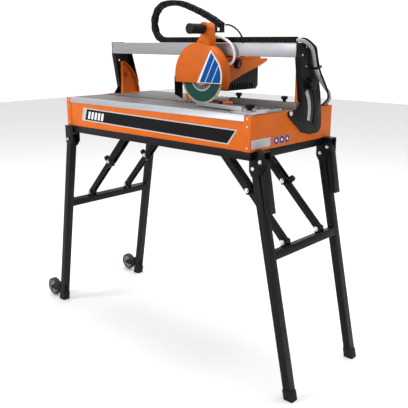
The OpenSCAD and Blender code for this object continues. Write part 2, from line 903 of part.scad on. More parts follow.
module guard_shell() {
    color(orange) place() {
        slab_xz([guard_front + guard_t, guard_back]) guard_rim_outline();
        slab_xz([guard_back - guard_t, guard_back]) difference() {
            union() {
                guard_outline(guard_r - 1);
                splash_bar_outline();
            }
            translate([head_x, axis_z]) circle(32);
        }
    }
}

// Bar close over the table, hung behind the blade from the guard's back
module splash_bar_outline() {
    z = [table_top + 3, table_top + 12];
    translate([head_x - 100, z[0]]) square([230, z[1] - z[0]]);
    for (x = [head_x - 98, head_x + 20]) translate([x, z[1] - 1]) square([14, cover_bottom + 5 - z[1]]);
}

module guard_cover() {
    color(orange) place() slab_xz([guard_front, guard_front + guard_t]) guard_outline(guard_r);
}

module splash_flap() {
    x = head_x - guard_r;
    color(black) place() slab_yz([x - 4, x - 1]) polygon([
        [guard_front, 1000], [guard_back, 1000], [guard_back - 1, 914], [guard_front + 1, 933]
    ]);
}

module neck_casting() {
    y = [guard_front + 5, guard_back - 2];
    base_z = axis_z + sqrt(guard_r * guard_r - 48 * 48) - 1;
    color(orange) place() {
        difference() {
            union() {
                slab_xz(y) {
                    polygon([
                        [head_x - 30, axis_z + 100], [head_x - 30, 1110], [head_x - 12, 1119], [head_x + 9, 1146],
                        grip_pos + [-20, 0], grip_pos + [21, 0], [head_x + 50, 1134], [head_x + 48, base_z],
                        [head_x + 20, axis_z + 106]
                    ]);
                    translate(grip_pos) circle(22);
                }
                slab_xz([y[0], y[0] + 4]) translate(grip_pos) circle(24);
            }
            translate([head_x, 0, axis_z]) rotate([90, 0, 0])
                cylinder(h = 200, r = guard_r + 0.02, center = true, $fn = 96);
            rod_y(grip_pos[0], grip_pos[1], [y[0] - 5, y[1] + 5], 11);
        }
        rod_y(head_x + 22, 1140, [y[1] - 2, 9], 8);
        rod_x(3, 1140, [head_x + 22, 120], 6.5);
    }
}

// Grip round a bar through the neck, with the arm that holds the chain's end behind it
module grip() {
    arm_y = chain_mid + chain_w / 2;
    color(black) place() {
        rod_y(grip_pos[0], grip_pos[1], [-110, guard_front + 1], grip_r);
        rod_y(grip_pos[0], grip_pos[1], [-117, -110], grip_r + 2);
        rod_y(grip_pos[0], grip_pos[1], [guard_front + 1, 10], 11);
        rod_y(grip_pos[0], grip_pos[1], [guard_back, 10], grip_r);
        block([grip_pos[0] - 6, grip_pos[0] + 20], [0, arm_y], [1154, 1160]);
        block([grip_pos[0] + 15, grip_pos[0] + 20], [chain_mid - chain_w / 2, arm_y], [1159, 1186]);
    }
}

motor_r = 46;                       // cavity for the rotor
switch_pos = [60, 1046];
switch_x = motor_right + 9.5;

module motor_shroud() {
    x = [motor_left, motor_right];
    color(orange) place() difference() {
        slab_yz(x) polygon([
            [guard_back, plate_bottom], [shroud_back, plate_bottom], [shroud_back, 1053], [196, 1035],
            [100, 1008], [30, 984], [10, 966], [guard_back, 962]
        ]);
        slab_yz([x[0] + 3, x[1] - 3]) polygon([
            [guard_back + 3, plate_bottom - 3], [shroud_back - 8, plate_bottom - 3], [196, 1039],
            [100, 1012], [30, 988], [guard_back + 3, 968]
        ]);
        block([motor_left + 3, motor_right - 3], [10, 190], [900, 1040]);
        rod_y(head_x, axis_z, [guard_back - 1, 40], 24);
    }
    color(orange) place() rod_x(3, 1045, [motor_right, motor_right + 4.5], 7);
}

module motor_body() {
    x = [motor_left + 3.5, motor_right - 3.5];
    color(black) place() difference() {
        union() {
            slab_yz(x) polygon([
                [14, 952], [motor_back - 12, 952], [motor_back, 964], [motor_back, 1032], [100, 1007.5],
                [30, 983.5], [14, 972]
            ]);
            slab_xz([14, motor_back - 4]) translate([head_x, axis_z]) circle(motor_r + 4);
        }
        rod_y(head_x, axis_z, [24, motor_back - 20], motor_r);
        rod_y(head_x, axis_z, [0, 30], 15);
        rod_y(head_x, axis_z, [motor_back - 25, motor_back - 12], 8 + run);
        for (i = [0:9]) block([motor_right - 7, motor_right], [24 + i * 14, 31 + i * 14], [956, 976]);
    }
    color(black) place() difference() {
        rod_x(switch_pos[0], switch_pos[1], [motor_right, motor_right + 10], 17);
        translate([motor_right + 5, switch_pos[0] - 7.5, switch_pos[1] - 12.5]) cube([10, 15, 25]);
        rod_x(switch_pos[0], switch_pos[1], [motor_right + 8, motor_right + 11], 14.5);
    }
}

module carriage_lines() {
    color("#DADCE0") place() {
        sweep(water_hose_route, 4.5, 8);
        sweep(motor_cable_route, 3, 8);
    }
}

module power_switch() {
    color("#B5211C") place() {
        translate([motor_right + 7, switch_pos[0] - 7, switch_pos[1] - 11]) cube([6, 14, 22]);
        rod_y(switch_x, switch_pos[1], [switch_pos[0] - 7.4, switch_pos[0] + 7.4], 2.5);
    }
}

module blade() {
    color("#14503C") place() difference() {
        rod_y(head_x, axis_z, [tilt_y - blade_t / 2, tilt_y + blade_t / 2], blade_r, $fn = 128);
        rod_y(head_x, axis_z, [tilt_y - 5, tilt_y + 5], 12.7);
        for (k = [0:15]) translate([head_x, tilt_y, axis_z]) rotate([0, 22.5 * k, 0])
            translate([-0.9, -5, blade_r - 9]) cube([1.8, 10, 12]);
    }
}

module blade_flanges() {
    color(silver) place() difference() {
        union() {
            rod_y(head_x, axis_z, [tilt_y + blade_t / 2, tilt_y + blade_t / 2 + 6], 35);
            rod_y(head_x, axis_z, [tilt_y - blade_t / 2 - 5, tilt_y - blade_t / 2], 35);
            rod_y(head_x, axis_z, [tilt_y - blade_t / 2, tilt_y + blade_t / 2], 12.6);
            translate([head_x, tilt_y - blade_t / 2 - 5, axis_z]) rotate([90, 0, 0])
                cylinder(h = 9, r = 13, $fn = 6);
        }
        rod_y(head_x, axis_z, [-60, 0], 8);
    }
}

module spindle() {
    color(silver) place() {
        rod_y(head_x, axis_z, [-45.5, motor_back - 14], 8);
        rod_y(head_x, axis_z, [40, motor_back - 40], 36);
        rod_y(head_x, axis_z, [tilt_y + blade_t / 2 + 6, 22], 12);
    }
}

// ---- Guides on the table ----

module fence_bar() {
    y = fence_y;
    color("#3C3A3E") place() difference() {
        slab_yz(fence_x) polygon([
            [y[0], table_top + 0.3], [y[1], table_top + 0.3], [y[1], fence_top - 3], [y[1] - 3, fence_top],
            [y[0] + 8, fence_top], [y[0] + 8, fence_top - 6], [y[0] + 4, fence_top - 6],
            [y[0] + 4, fence_top], [y[0], fence_top]
        ]);
        for (x = knob_xs) translate([x, knob_y, table_top]) cylinder(h = 40, r = 3 + run);
    }
}

module fence_knob(x) {
    translate([x, knob_y, 0]) {
        translate([0, 0, table_top + 4]) cylinder(h = 30, r = 3);
        translate([0, 0, fence_top + 0.5]) cylinder(h = 8, r = 6);
        translate([0, 0, knob_top - 10]) cylinder(h = 10, r = 11);
    }
}

module fence_knob_left() {
    color(black) place() fence_knob(knob_xs[0]);
}

module fence_knob_right() {
    color(black) place() fence_knob(knob_xs[1]);
}

module guide_base() {
    plate = [table_top + 0.3, table_top + 3.3];
    color("#C4C5C8") place() difference() {
        union() {
            intersection() {
                translate([arm_pivot[0], arm_pivot[1], plate[0]]) cylinder(h = 3, r = 60);
                block([arm_pivot[0] - 70, arm_pivot[0]], [guide_front, guide_back], plate);
            }
            block([arm_pivot[0] - 1, guide_end], [guide_front, guide_back], plate);
            block([guide_end - 4, guide_end], [-140, guide_back], [plate[0], plate[0] + 9]);
        }
        translate([arm_pivot[0], arm_pivot[1], table_top]) cylinder(h = 30, r = 3);
        for (p = [[446, -120], [446, -95]]) translate([p[0], p[1], table_top]) cylinder(h = 9, r = 5);
    }
}

// Draws along the arm from its pivot, with local X towards the arm's free end
module on_arm() {
    dir = arm_end - arm_pivot;
    translate([arm_pivot[0], arm_pivot[1], 0]) rotate(atan2(dir[1], dir[0])) children();
}

module angle_arm() {
    reach = norm(arm_end - arm_pivot);
    color(silver) place() on_arm() difference() {
        union() {
            block([-16, reach], [-12, 12], [table_top + 3.7, table_top + 6.7]);
            block([22, reach], [11, 14], [table_top + 3.7, table_top + 17]);
            block([110, 160], [-9, 11], [table_top + 6.7, table_top + 12]);
        }
        cylinder(h = 2000, r = 3 + run);
        translate([reach - 30, 0, 0]) cylinder(h = 2000, r = 3);
    }
}

module angle_knob() {
    color(black) place() translate([arm_pivot[0], arm_pivot[1], 0]) {
        translate([0, 0, table_top + 3.5]) cylinder(h = 12, r = 3);
        translate([0, 0, table_top + 7]) cylinder(h = 6, r = 8);
        translate([0, 0, table_top + 13]) cylinder(h = 14, r = 15);
    }
}

long_panels();
end_panels();
water_pan();
base_frame();
table_front();
table_rear();
front_trim();
tilt_lugs();
hinge_brackets();
base_fasteners();
water_pump();
tray_fittings();
tilt_knob_left();
tilt_knob_right();
right_legs();
right_crossbar();
right_foot_caps();
left_legs();
left_crossbar();
left_foot_caps();
wheel_brackets();
wheel_front();
wheel_rear();
right_upper_links();
right_lower_links();
left_upper_links();
left_lower_links();
right_lock_knobs();
left_lock_knobs();
carry_handle_front();
carry_handle_rear();
rail();
bracket_left();
bracket_right();
bridge_bolts();
bridge_lines();
chain_lower();
chain_bend();
chain_upper();
carriage_plate();
roller_pair_left();
roller_pair_right();
guard_shell();
guard_cover();
splash_flap();
neck_casting();
grip();
motor_shroud();
motor_body();
carriage_lines();
power_switch();
blade();
blade_flanges();
spindle();
fence_bar();
fence_knob_left();
fence_knob_right();
guide_base();
angle_arm();
angle_knob();
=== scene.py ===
import bpy
import json
import math
from mathutils import Matrix, Vector


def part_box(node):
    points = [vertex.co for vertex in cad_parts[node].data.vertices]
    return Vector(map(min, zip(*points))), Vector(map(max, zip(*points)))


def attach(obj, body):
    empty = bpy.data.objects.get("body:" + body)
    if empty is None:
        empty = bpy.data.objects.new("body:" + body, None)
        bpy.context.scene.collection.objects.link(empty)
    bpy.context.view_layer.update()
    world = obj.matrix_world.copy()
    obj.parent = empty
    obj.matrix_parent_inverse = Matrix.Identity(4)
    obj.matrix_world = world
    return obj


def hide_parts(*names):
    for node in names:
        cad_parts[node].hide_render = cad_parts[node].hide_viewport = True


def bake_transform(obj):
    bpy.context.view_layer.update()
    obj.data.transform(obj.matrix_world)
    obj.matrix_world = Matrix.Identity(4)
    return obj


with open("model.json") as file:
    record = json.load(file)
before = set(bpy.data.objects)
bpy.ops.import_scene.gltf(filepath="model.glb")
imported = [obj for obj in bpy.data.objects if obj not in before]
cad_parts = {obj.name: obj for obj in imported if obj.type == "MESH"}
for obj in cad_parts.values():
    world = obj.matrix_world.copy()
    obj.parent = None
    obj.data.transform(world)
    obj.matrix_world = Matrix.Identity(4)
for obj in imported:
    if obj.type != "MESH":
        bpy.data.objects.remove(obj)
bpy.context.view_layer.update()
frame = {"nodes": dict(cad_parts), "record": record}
nodes = frame["nodes"]

# The CAD is drawn round the tray's middle and then shifted along X
tray_low, tray_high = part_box("end_panels")
SHIFT = (tray_low.x + tray_high.x) / 2


def at(x, y, z):
    """A point of the row frame, from millimetres measured from the tray's middle."""
    return Vector((SHIFT + x / 1000, y / 1000, z / 1000))


# ---- Camera ----

camera = bpy.data.objects.new("camera", bpy.data.cameras.new("camera"))
bpy.context.scene.collection.objects.link(camera)
camera.location = at(1603.8, -1658.3, 1128.1)
camera.rotation_euler = (math.radians(74.9), 0, math.radians(42.8))
camera.data.sensor_width = 36
camera.data.lens = 53.6
camera.data.clip_start = 0.05
bpy.context.scene.camera = camera


# ---- Materials ----


class Shader:
    """A node material built round one Principled shader, with short calls for the usual chains."""

    def __init__(self, name, **values):
        self.material = bpy.data.materials.new(name)
        self.material.use_nodes = True
        self.tree = self.material.node_tree
        self.shader = self.tree.nodes["Principled BSDF"]
        for key, value in values.items():
            self.shader.inputs[key.replace("_", " ")].default_value = value
        self.place = self.node("ShaderNodeTexCoord").outputs["Object"]

    def node(self, kind, links=(), **values):
        made = self.tree.nodes.new(kind)
        for key, value in values.items():
            setattr(made, key, value)
        for slot, source in dict(links).items():
            if isinstance(source, bpy.types.NodeSocket):
                self.tree.links.new(source, made.inputs[slot])
            else:
                made.inputs[slot].default_value = source
        return made

    def stretched(self, sx, sy, sz):
        return self.node("ShaderNodeMapping", {"Vector": self.place, "Scale": (sx, sy, sz)}).outputs[0]

    def noise(self, scale, detail=3, rough=0.55, place=None):
        links = {"Vector": place or self.place, "Scale": scale, "Detail": detail, "Roughness": rough}
        return self.node("ShaderNodeTexNoise", links).outputs["Fac"]

    def math(self, kind, a, b=0.0, c=0.0):
        return self.node("ShaderNodeMath", {0: a, 1: b, 2: c}, operation=kind).outputs[0]

    def span(self, value, low, high, to_low=0.0, to_high=1.0):
        links = {"Value": value, "From Min": low, "From Max": high, "To Min": to_low, "To Max": to_high}
        return self.node("ShaderNodeMapRange", links).outputs[0]

    def mix(self, factor, a, b):
        made = self.node("ShaderNodeMix", data_type="RGBA")
        for index, source in ((0, factor), (6, a), (7, b)):
            if isinstance(source, bpy.types.NodeSocket):
                self.tree.links.new(source, made.inputs[index])
            else:
                made.inputs[index].default_value = source if index == 0 else (*source, 1)
        return made.outputs[2]

    def set(self, slot, source):
        self.tree.links.new(source, self.shader.inputs[slot])

    def bump(self, height, strength, depth):
        made = self.node("ShaderNodeBump", {"Height": height, "Strength": strength, "Distance": depth})
        self.set("Normal", made.outputs[0])

    def edges(self, radius=0.0012):
        """About 1 along sharp edges and 0 on flat faces."""
        rounded = self.node("ShaderNodeBevel", {"Radius": radius}, samples=4).outputs[0]
        flat = self.node("ShaderNodeNewGeometry").outputs["Normal"]
        dot = self.node("ShaderNodeVectorMath", {0: rounded, 1: flat}, operation="DOT_PRODUCT")
        return self.span(dot.outputs["Value"], 0.99, 0.8)

    def facing_up(self):
        flat = self.node("ShaderNodeNewGeometry").outputs["Normal"]
        return self.span(self.node("ShaderNodeSeparateXYZ", {0: flat}).outputs[2], 0.4, 1.0)


def tint(rgb, k):
    return tuple(min(1.0, c * k) for c in rgb)


def coated(name, rgb, rough=0.4, coat=0.15, dust=0.1, specular=0.5):
    """Powder coat: fine orange peel, cloudy gloss, worn edges and a little stone dust on top."""
    s = Shader(name, Coat_Weight=coat, Coat_Roughness=0.25, Specular_IOR_Level=specular)
    cloud = s.noise(9, 5)
    fine = s.noise(700, 2)
    colour = s.mix(s.span(cloud, 0.3, 0.7), tint(rgb, 0.9), tint(rgb, 1.08))
    worn = s.math("MULTIPLY", s.edges(), s.span(s.noise(60, 4), 0.45, 0.7, 0.0, 0.5))
    colour = s.mix(worn, colour, tint(rgb, 1.6))
    dusty = s.math("MULTIPLY", s.facing_up(), s.span(s.noise(25, 6, 0.7), 0.4, 0.8, 0.0, dust))
    colour = s.mix(dusty, colour, (0.5, 0.47, 0.43))
    s.set("Base Color", colour)
    s.set("Roughness", s.span(s.noise(35, 4), 0.3, 0.7, rough - 0.06, rough + 0.1))
    s.bump(fine, 0.25, 0.0004)
    return s.material


def drawn_metal(name, rgb, rough=0.3, along=0, stain=0.0, metallic=1.0):
    """Extruded or rolled metal, with fine lines along one axis and dull patches."""
    s = Shader(name, Metallic=metallic)
    scale = [900, 900, 900]
    scale[along] = 8
    lines = s.noise(1.0, 3, 0.6, s.stretched(*scale))
    cloud = s.noise(6, 5, 0.6)
    colour = s.mix(s.span(lines, 0.3, 0.7), tint(rgb, 0.93), tint(rgb, 1.05))
    colour = s.mix(s.span(cloud, 0.5, 0.75, 0.0, stain), colour, tint(rgb, 0.55))
    s.set("Base Color", colour)
    s.set("Roughness", s.span(cloud, 0.3, 0.7, rough - 0.05, rough + 0.12))
    s.bump(lines, 0.12, 0.0002)
    return s.material


def ribbed_metal(name):
    """The table: dull bright rib tops, and grooves between them coloured near black as painted shade, set by height
    below the top.
    """
    s = Shader(name, Metallic=0.35)
    height = s.node("ShaderNodeSeparateXYZ", {0: s.place}).outputs[2]
    lines = s.noise(1.0, 3, 0.6, s.stretched(700, 10, 700))
    top = s.mix(s.span(lines, 0.3, 0.7), (0.22, 0.205, 0.2), (0.36, 0.34, 0.335))
    top = s.mix(s.span(s.noise(14, 5), 0.45, 0.75, 0.0, 0.5), top, (0.12, 0.105, 0.1))
    # Painted shade: faces more than about 1 mm below the table top get a near-black colour that stands in for the
    # shadow inside the grooves.
    groove_painted_shade = s.mix(s.noise(40, 4), (0.02, 0.018, 0.018), (0.075, 0.065, 0.06))
    s.set("Base Color", s.mix(s.span(height, TABLE_TOP - 0.0018, TABLE_TOP - 0.0004), groove_painted_shade, top))
    s.set("Roughness", s.span(s.noise(30, 4), 0.3, 0.7, 0.42, 0.62))
    s.bump(lines, 0.15, 0.0002)
    return s.material


def zinc(name, rgb, rough=0.3):
    """Plated steel: small crystals and a few dull spots."""
    s = Shader(name, Metallic=1.0)
    cells = s.node("ShaderNodeTexVoronoi", {"Vector": s.place, "Scale": 260}).outputs["Color"]
    grey = s.node("ShaderNodeSeparateColor", {0: cells}).outputs[0]
    s.set("Base Color", s.mix(grey, tint(rgb, 0.85), tint(rgb, 1.1)))
    s.set("Roughness", s.span(s.noise(90, 4), 0.3, 0.7, rough - 0.08, rough + 0.15))
    s.bump(grey, 0.1, 0.0002)
    return s.material


def moulded(name, rgb, rough=0.5, grain=900, depth=0.3, dust=0.08, **values):
    """Moulded plastic or rubber: leather-fine grain, cloudy tone and dust in the open faces."""
    s = Shader(name, **values)
    cells = s.node("ShaderNodeTexVoronoi", {"Vector": s.place, "Scale": grain}, feature="SMOOTH_F1").outputs[0]
    cloud = s.noise(14, 5)
    colour = s.mix(s.span(cloud, 0.3, 0.7), tint(rgb, 0.85), tint(rgb, 1.2))
    dusty = s.math("MULTIPLY", s.facing_up(), s.span(s.noise(30, 6, 0.7), 0.4, 0.8, 0.0, dust))
    s.set("Base Color", s.mix(dusty, colour, (0.42, 0.4, 0.37)))
    s.set("Roughness", s.span(cloud, 0.3, 0.7, rough - 0.06, rough + 0.1))
    s.bump(cells, depth, 0.0004)
    return s.material


def printed(name, rgb, rough=0.35):
    """Printed film: flat ink with faint mottling."""
    s = Shader(name, Specular_IOR_Level=0.08)
    s.set("Base Color", s.mix(s.noise(40, 4), tint(rgb, 0.92), tint(rgb, 1.06)))
    s.set("Roughness", s.span(s.noise(120, 3), 0.3, 0.7, rough - 0.05, rough + 0.08))
    s.bump(s.noise(500, 2), 0.05, 0.0002)
    return s.material


def distance_from_axis(s, centre):
    """Distance from an axis along Y through centre, in metres."""
    moved = s.node("ShaderNodeVectorMath", {0: s.place, 1: tuple(centre)}, operation="SUBTRACT").outputs[0]
    flat = s.node("ShaderNodeVectorMath", {0: moved, 1: (1, 0, 1)}, operation="MULTIPLY").outputs[0]
    return s.node("ShaderNodeVectorMath", {0: flat}, operation="LENGTH").outputs["Value"]


def blade_paint(centre, radius):
    """Green core with a round label, and a gritty tan rim where the diamond is."""
    s = Shader("blade_core_and_rim", Metallic=0.1, Specular_IOR_Level=0.3)
    r = distance_from_axis(s, centre)
    rim = s.span(r, radius - 0.0085, radius - 0.0078)
    rings = s.math("SINE", s.math("MULTIPLY", r, 2200.0))
    core = s.mix(s.span(s.noise(20, 5), 0.3, 0.7), (0.0, 0.045, 0.032), (0.0, 0.075, 0.05))
    core = s.mix(s.span(rings, -1, 1, 0.0, 0.25), core, (0.01, 0.1, 0.07))
    core = s.mix(s.span(r, 0.0535, 0.054), (0.55, 0.55, 0.52), core)
    core = s.mix(s.span(r, 0.0490, 0.0495), (0.16, 0.12, 0.11), core)
    grit = s.noise(1600, 2, 0.8)
    band = s.mix(s.span(grit, 0.4, 0.6), (0.3, 0.24, 0.15), (0.62, 0.56, 0.44))
    s.set("Base Color", s.mix(rim, core, band))
    s.set("Roughness", s.span(rim, 0, 1, 0.32, 0.75))
    s.bump(s.math("MULTIPLY", grit, rim), 0.5, 0.0004)
    return s.material


def wheel_paint(centre, name):
    """Grey-green hub with a dark tread outside it."""
    s = Shader(name)
    r = distance_from_axis(s, centre)
    tread = s.span(r, 0.0270, 0.0276)
    hub = s.mix(s.noise(30, 5), (0.13, 0.17, 0.15), (0.22, 0.27, 0.25))
    tyre = s.mix(s.noise(60, 5), (0.014, 0.02, 0.018), (0.035, 0.045, 0.04))
    s.set("Base Color", s.mix(tread, hub, tyre))
    s.set("Roughness", s.span(tread, 0, 1, 0.42, 0.75))
    s.bump(s.noise(700, 3), 0.3, 0.0004)
    return s.material


ORANGE = (0.62, 0.122, 0.006)
TABLE_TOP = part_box("table_rear")[1].z
axis_low, axis_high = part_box("blade")
BLADE = (axis_low + axis_high) / 2
BLADE_R = (axis_high.x - axis_low.x) / 2

orange = coated("orange_powder_coat", ORANGE, 0.5, 0.02, 0.04, 0.16)
black_steel = coated("black_powder_coat", (0.004, 0.004, 0.005), 0.42, 0.0, 0.03, 0.14)
aluminium = drawn_metal("extruded_aluminium", (0.32, 0.32, 0.345), 0.42, 0, 0.12, 0.6)
trim_metal = drawn_metal("trim_aluminium", (0.4, 0.41, 0.44), 0.4, 0, 0.1, 0.5)
table_metal = ribbed_metal("table_aluminium")
dark_aluminium = drawn_metal("anodised_aluminium", (0.10, 0.085, 0.08), 0.45, 0, 0.1, 0.4)
steel = zinc("zinc_plated_steel", (0.68, 0.68, 0.7))
dull_steel = zinc("turned_steel", (0.40, 0.38, 0.40), 0.38)
black_plastic = moulded("black_grained_plastic", (0.005, 0.005, 0.006), 0.5, Specular_IOR_Level=0.18)
chain_plastic = moulded("chain_plastic", (0.003, 0.003, 0.004), 0.5, 700, 0.2, 0.02, Specular_IOR_Level=0.1)
black_rubber = moulded("black_rubber", (0.006, 0.006, 0.006), 0.62, 600, 0.45, Specular_IOR_Level=0.2)
pan_plastic = moulded("pan_plastic", (0.22, 0.23, 0.24), 0.5)
grey_rubber = moulded("grey_hose_rubber", (0.30, 0.30, 0.32), 0.5, 500, 0.2)
clear_vinyl = moulded(
    "milky_vinyl", (0.72, 0.74, 0.76), 0.22, 300, 0.1, 0.02, Coat_Weight=0.6, Subsurface_Weight=0.2
)
red_plastic = moulded("red_plastic", (0.16, 0.008, 0.006), 0.35, 500, 0.1)
blue_ink = printed("blue_ink", (0.004, 0.07, 0.30))
white_ink = printed("white_ink", (0.82, 0.84, 0.86))
sky_ink = printed("pale_blue_ink", (0.35, 0.62, 0.80))
black_ink = printed("black_ink", (0.005, 0.005, 0.006), 0.5)
silver_ink = printed("silver_ink", (0.48, 0.49, 0.5), 0.3)
grey_ink = printed("grey_ink", (0.42, 0.43, 0.43))

BY_SLOT = {
    "orange_paint": orange,
    "black_paint": black_steel,
    "bare_aluminium": aluminium,
    "dark_aluminium": dark_aluminium,
    "bright_steel": steel,
    "black_plastic": black_plastic,
    "black_rubber": black_rubber,
    "pan_plastic": pan_plastic,
    "line_rubber": grey_rubber,
    "clear_hose": clear_vinyl,
    "switch_plastic": red_plastic,
}
BY_NODE = {
    "table_front": table_metal,
    "table_rear": table_metal,
    "front_trim": trim_metal,
    "blade_flanges": dull_steel,
    "blade": blade_paint(BLADE, BLADE_R),
    "chain_lower": chain_plastic,
    "chain_bend": chain_plastic,
    "chain_upper": chain_plastic,
}
for wheel in ("wheel_front", "wheel_rear"):
    low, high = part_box(wheel)
    BY_NODE[wheel] = wheel_paint((low + high) / 2, wheel + "_hub_and_tread")

slot_of = {part["node"]: part["material_slot"] for part in frame["record"]["subparts"]}
for name, obj in nodes.items():
    obj.data.materials.clear()
    obj.data.materials.append(BY_NODE.get(name) or BY_SLOT[slot_of[name]])


# ---- Softer edges on the CAD's own pieces ----


def soften(name, width, segments=2, angle=35):
    """Rounds a CAD node's sharp edges for the light to catch; widths are in millimetres."""
    obj = nodes[name]
    weld = obj.modifiers.new("weld", "WELD")
    weld.merge_threshold = 1e-5
    flat = obj.modifiers.new("flat", "DECIMATE")
    flat.decimate_type = "DISSOLVE"
    flat.angle_limit = math.radians(1)
    bevel = obj.modifiers.new("bevel", "BEVEL")
    bevel.width = width / 1000
    bevel.segments = segments
    bevel.limit_method = "ANGLE"
    bevel.angle_limit = math.radians(angle)
    bevel.harden_normals = True
    for face in obj.data.polygons:
        face.use_smooth = True


SOFT_EDGES = {
    3.0: "right_legs left_legs right_crossbar left_crossbar carry_handle_front carry_handle_rear",
    2.0: "base_frame right_foot_caps left_foot_caps neck_casting motor_shroud rail",
    1.0: "long_panels end_panels hinge_brackets bracket_left bracket_right carriage_plate tilt_lugs "
    "right_upper_links left_upper_links right_lower_links left_lower_links motor_body angle_knob fence_knob_left "
    "fence_knob_right "
    "tilt_knob_left tilt_knob_right grip right_lock_knobs left_lock_knobs water_pump",
    0.5: "wheel_brackets base_fasteners bridge_bolts guard_cover guard_shell splash_flap front_trim fence_bar "
    "guide_base angle_arm blade_flanges power_switch tray_fittings roller_pair_left roller_pair_right",
}
for width, names in SOFT_EDGES.items():
    for name in names.split():
        soften(name, width)


# ---- Mesh tools ----


def piece(name, points, faces, material, body, smooth=False):
    """A mesh piece in the row frame that rides on a body."""
    mesh = bpy.data.meshes.new(name)
    mesh.from_pydata([tuple(p) for p in points], [], faces)
    mesh.materials.append(material)
    mesh.update()
    for face in mesh.polygons:
        face.use_smooth = smooth
    obj = bpy.data.objects.new(name, mesh)
    bpy.context.scene.collection.objects.link(obj)
    if body:
        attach(obj, body)
    return obj


class Builder:
    """Collects closed shapes, and makes one mesh of them."""

    def __init__(self):
        self.points = []
        self.faces = []

    def add(self, points, faces):
        start = len(self.points)
        self.points += [Vector(p) for p in points]
        self.faces += [[start + i for i in face] for face in faces]

    def prism(self, outline, origin, u, v, thick):
        """An outline in millimetres on the plane of u and v at origin, raised by thick along u x v."""
        n = u.cross(v)
        low = [origin + (u * a + v * b) / 1000 for a, b in outline]
        count = len(low)
        high = [p + n * thick / 1000 for p in low]
        sides = [[i, (i + 1) % count, count + (i + 1) % count, count + i] for i in range(count)]
        self.add(low + high, [list(range(count))[::-1], list(range(count, 2 * count)), *sides])

    def lathe(self, profile, origin, axis, count=32):
        """A closed ring of (radius, height) points in millimetres, turned about an axis."""
        axis = axis.normalized()
        a = axis.orthogonal().normalized()
        b = axis.cross(a)
        m = len(profile)
        points = []
        for k in range(count):
            t = 2 * math.pi * k / count
            out = a * math.cos(t) + b * math.sin(t)
            points += [origin + (out * r + axis * h) / 1000 for r, h in profile]
        faces = []
        for k in range(count):
            here, there = k * m, (k + 1) % count * m
            faces += [[here + i, here + (i + 1) % m, there + (i + 1) % m, there + i] for i in range(m)]
        self.add(points, faces)

    def piece(self, name, material, body, smooth=False, slot=None):
        return piece(name, self.points, self.faces, material, body, smooth)


def plates(name, outlines, origin, u, v, thick, material, body):
    made = Builder()
    for outline in outlines:
        made.prism(outline, origin, u, v, thick)
    return made.piece(name, material, body)


def arc(cx, cy, r, a0, a1, n):
    steps = [math.radians(a0 + (a1 - a0) * i / n) for i in range(n + 1)]
    return [(cx + r * math.cos(a), cy + r * math.sin(a)) for a in steps]


def curve_through(points, per=6):
    """A smooth line through the points."""
    line = []
    for i in range(len(points) - 1):
        p0, p1 = points[max(i - 1, 0)], points[i]
        p2, p3 = points[i + 1], points[min(i + 2, len(points) - 1)]
        for k in range(per):
            t = k / per
            line.append(
                (2 * p1 + (p2 - p0) * t + (2 * p0 - 5 * p1 + 4 * p2 - p3) * t * t
                 + (3 * p1 - p0 - 3 * p2 + p3) * t ** 3) / 2
            )
    return line + [points[-1]]


def tube(name, route, r, material, body, sides=16, rib=0.0, pitch=4.0):
    """A hose of radius r in millimetres along a route, with optional ribs."""
    line = curve_through([at(*p) for p in route])
    if rib:
        dense = []
        for a, b in zip(line, line[1:]):
            steps = max(1, round((b - a).length * 1000 / (pitch / 4)))
            dense += [a.lerp(b, k / steps) for k in range(steps)]
        line = dense + [line[-1]]
    side = (line[1] - line[0]).orthogonal().normalized()
    points, faces, run = [], [], 0.0
    for i, p in enumerate(line):
        ahead = (line[min(i + 1, len(line) - 1)] - line[max(i - 1, 0)]).normalized()
        side = (side - ahead * side.dot(ahead)).normalized()
        up = ahead.cross(side)
        run += (p - line[i - 1]).length * 1000 if i else 0
        radius = (r + rib * math.cos(2 * math.pi * run / pitch)) / 1000
        for k in range(sides):
            t = 2 * math.pi * k / sides
            points.append(p + (side * math.cos(t) + up * math.sin(t)) * radius)
        if i:
            low = (i - 1) * sides
            for k in range(sides):
                n = (k + 1) % sides
                faces.append([low + k, low + n, low + sides + n, low + sides + k])
    faces.append(list(range(sides))[::-1])
    faces.append(list(range(len(points) - sides, len(points))))
    return piece(name, points, faces, material, body, True)


X, Y, Z = Vector((1, 0, 0)), Vector((0, 1, 0)), Vector((0, 0, 1))


# ---- Hoses and cables ----

drop_hose_route = [
    (458, 20, 1128), (468, 16, 1128), (477, 20, 1126), (483, 31, 1121), (485, 50, 1111), (485, 65, 1099),
    (485, 75, 1079), (485, 86, 1047), (485, 98, 1026), (485, 120, 1002), (484, 152, 976),
    (482, 181, 956), (477, 199, 938), (470, 208, 929), (461, 212, 920), (455.8, 211, 911),
    (455, 210, 900),
]
drop_cable_route = [
    (458, 34, 1131), (468, 33, 1133), (478, 38, 1131), (484, 50, 1124), (486, 72, 1112), (487, 84, 1102),
    (488, 91, 1076), (491, 97, 1049), (496, 103, 1024), (498, 125, 994), (496, 151, 963),
    (488, 172, 940), (474, 184, 925), (461, 187, 914), (455.6, 186.3, 907), (455, 186, 899),
]
water_hose_route = [
    (120.2, 3, 1140), (138, 3, 1138), (152, 3, 1136), (165, 3, 1131), (177, 3, 1126), (188, 3, 1119),
    (198, 3, 1110), (205, 3, 1098), (209, 3, 1084), (209, 3, 1070), (205, 3, 1058), (197, 3, 1050),
    (187, 3, 1046), (177, 3, 1045),
]
motor_cable_route = [
    (132, 43, 1179), (136, 48, 1181), (142, 57, 1179), (149, 69, 1173), (155, 82, 1163),
    (160, 93, 1150), (163, 101, 1134), (163, 107, 1116), (161, 111, 1098), (158, 113, 1084),
    (156, 114, 1071),
]
TIE = at(485, 93, 1041)

